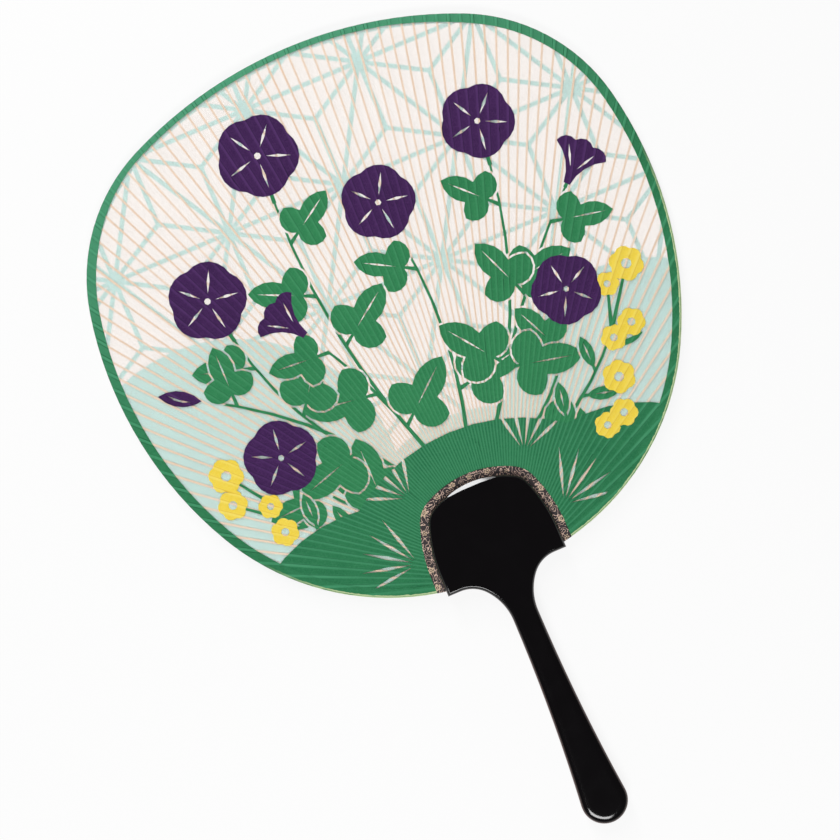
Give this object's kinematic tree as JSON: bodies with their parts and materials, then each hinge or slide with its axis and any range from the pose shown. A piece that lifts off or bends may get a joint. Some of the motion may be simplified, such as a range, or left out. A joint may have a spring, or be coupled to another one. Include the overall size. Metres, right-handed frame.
{
  "type": "round uchiwa fan",
  "caption": "Rigid round hand fan: gauze and cut papers on fanned bamboo ribs, bound in green paper, set in the slotted head of a black lacquered wooden handle.",
  "frame": {"origin": "the point that the ribs fan out from, on the flat underside of the handle's head", "axes": "+Y from the handle to the tip of the blade, +Z out of the blade's front face, +X to the right"},
  "size_m": [0.2918, 0.4197, 0.01],
  "materials": {
    "black_lacquer": "wood under glossy black lacquer",
    "bamboo": "split bamboo, planed",
    "silk_gauze": "fine openwork weave, stretched",
    "aqua_paper": "pale aqua cut paper, matte",
    "green_paper": "green cut paper, matte, fibrous",
    "purple_paper": "deep purple cut paper, matte, fibrous",
    "yellow_paper": "yellow cut paper, matte",
    "rim_paper": "green paper folded over the edge",
    "trim_paper": "dark paper band with a small gold scroll"
  },
  "bodies": {
    "root": {"blossom_papers": "yellow_paper", "flower_papers": "purple_paper", "foliage_papers": "green_paper", "gauze_sheet": "silk_gauze", "handle": "black_lacquer", "hill_paper": "green_paper", "lattice_paper": "aqua_paper", "neck_trim_back": "trim_paper", "neck_trim_front": "trim_paper", "rib_centre": "bamboo", "rib_pair_01": "bamboo", "rib_pair_02": "bamboo", "rib_pair_03": "bamboo", "rib_pair_04": "bamboo", "rib_pair_05": "bamboo", "rib_pair_06": "bamboo", "rib_pair_07": "bamboo", "rib_pair_08": "bamboo", "rib_pair_09": "bamboo", "rib_pair_10": "bamboo", "rib_pair_11": "bamboo", "rib_pair_12": "bamboo", "rib_pair_13": "bamboo", "rib_pair_14": "bamboo", "rib_pair_15": "bamboo", "rib_pair_16": "bamboo", "rib_pair_17": "bamboo", "rib_pair_18": "bamboo", "rib_pair_19": "bamboo", "rib_pair_20": "bamboo", "rib_pair_21": "bamboo", "rib_pair_22": "bamboo", "rib_pair_23": "bamboo", "rib_pair_24": "bamboo", "rib_pair_25": "bamboo", "rib_pair_26": "bamboo", "rib_pair_27": "bamboo", "rib_pair_28": "bamboo", "rib_pair_29": "bamboo", "rib_pair_30": "bamboo", "rib_pair_31": "bamboo", "rib_pair_32": "bamboo", "rib_pair_33": "bamboo", "rib_pair_34": "bamboo", "rib_pair_35": "bamboo", "rib_pair_36": "bamboo", "rib_pair_37": "bamboo", "rib_pair_38": "bamboo", "rib_pair_39": "bamboo", "rib_pair_40": "bamboo", "rib_pair_41": "bamboo", "rib_pair_42": "bamboo", "rib_pair_43": "bamboo", "rib_pair_44": "bamboo", "rib_pair_45": "bamboo", "rib_pair_46": "bamboo", "rib_pair_47": "bamboo", "rim_binding": "rim_paper"}
  },
  "joints": []
}
